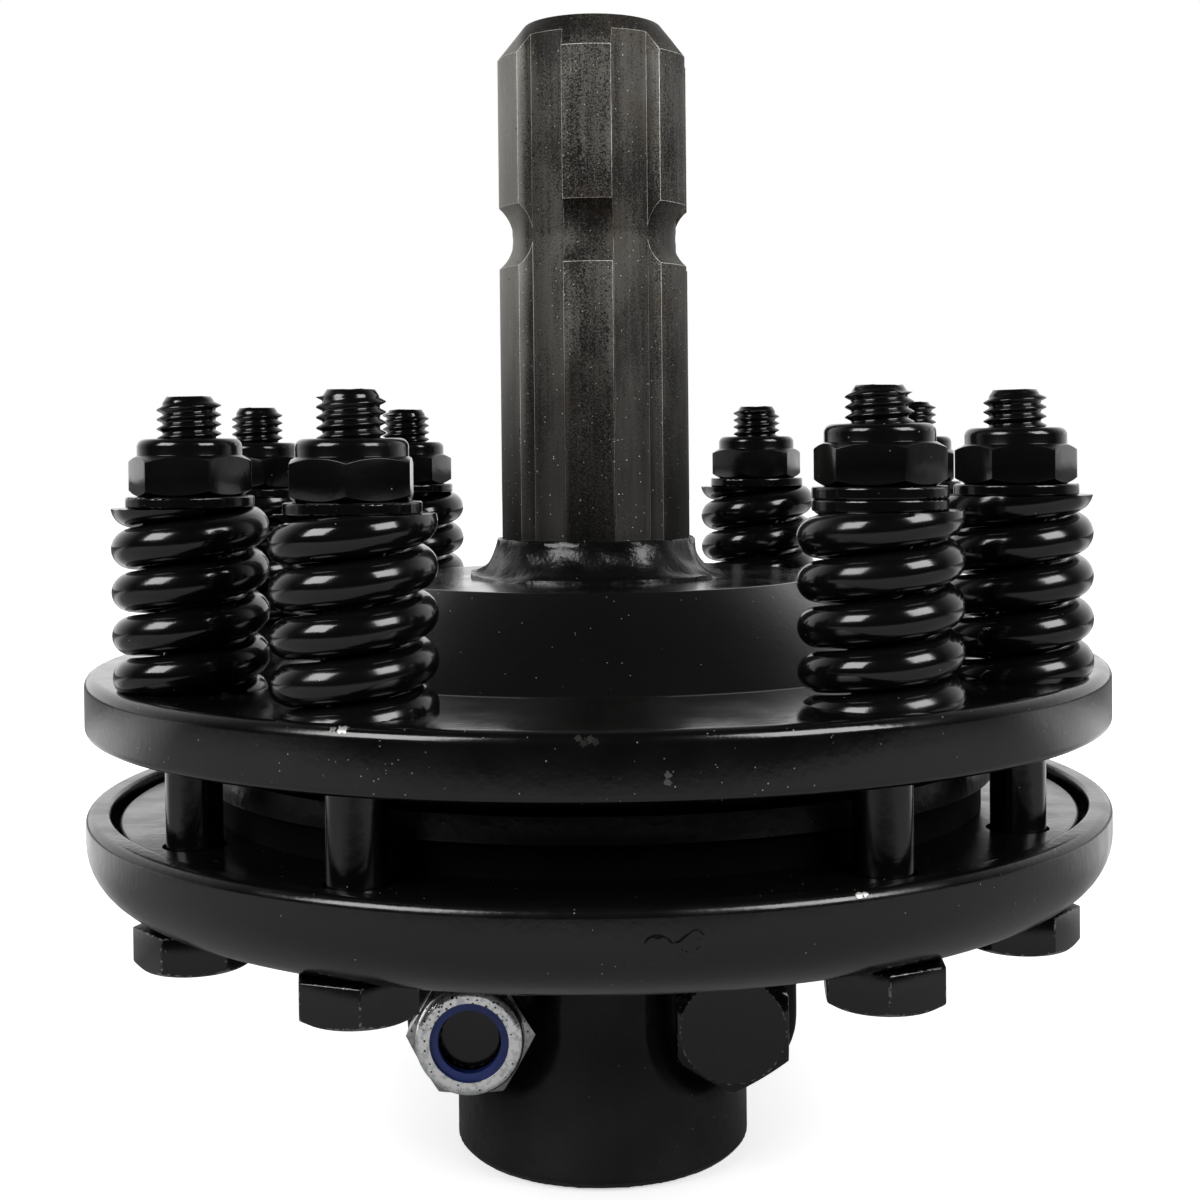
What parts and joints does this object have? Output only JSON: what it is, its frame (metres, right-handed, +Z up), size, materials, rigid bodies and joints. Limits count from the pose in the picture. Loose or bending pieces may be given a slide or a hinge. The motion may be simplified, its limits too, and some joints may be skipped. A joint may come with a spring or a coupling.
{
  "type": "torque limiter",
  "caption": "Friction torque limiter: a splined drive shaft on a sprung flange turns a clamp hub through a stack of linings that slips when overloaded.",
  "frame": {"origin": "centre of the hub's lower end face, on the common axis", "axes": "+Z up the common axis towards the end of the splined shaft; -Y is the side that the picture shows"},
  "size_m": [0.18, 0.18, 0.201],
  "materials": {
    "black_paint": "gloss black paint",
    "bare_steel": "dark bare steel, oiled",
    "friction_lining": "matt moulded lining",
    "bronze": "turned bronze",
    "zinc_plate": "bright zinc plate",
    "blue_nylon": "moulded nylon",
    "black_nylon": "painted over nylon"
  },
  "bodies": {
    "hub": {"clamp_hub": "black_paint", "clamp_bolts": "black_paint", "clamp_nuts": "zinc_plate", "clamp_nut_rings": "blue_nylon"},
    "drive": {"spline_shaft": "bare_steel", "shaft_weld": "black_paint", "drive_flange": "black_paint", "upper_lining": "friction_lining", "lower_lining": "friction_lining", "backing_plate": "black_paint", "dish_cover": "black_paint", "centring_bush": "bronze", "spring_bolts": "black_paint", "spring_nuts": "black_paint", "nut_rings": "black_nylon", "spring_washers": "black_paint", "spring_1": "black_paint", "spring_2": "black_paint", "spring_3": "black_paint", "spring_4": "black_paint", "spring_5": "black_paint", "spring_6": "black_paint", "spring_7": "black_paint", "spring_8": "black_paint"}
  },
  "joints": [
    {"name": "clutch_slip", "type": "hinge", "parent": "hub", "child": "drive", "pos_m": [0, 0, 0.08], "axis": [0, 0, 1], "continuous": true}
  ]
}
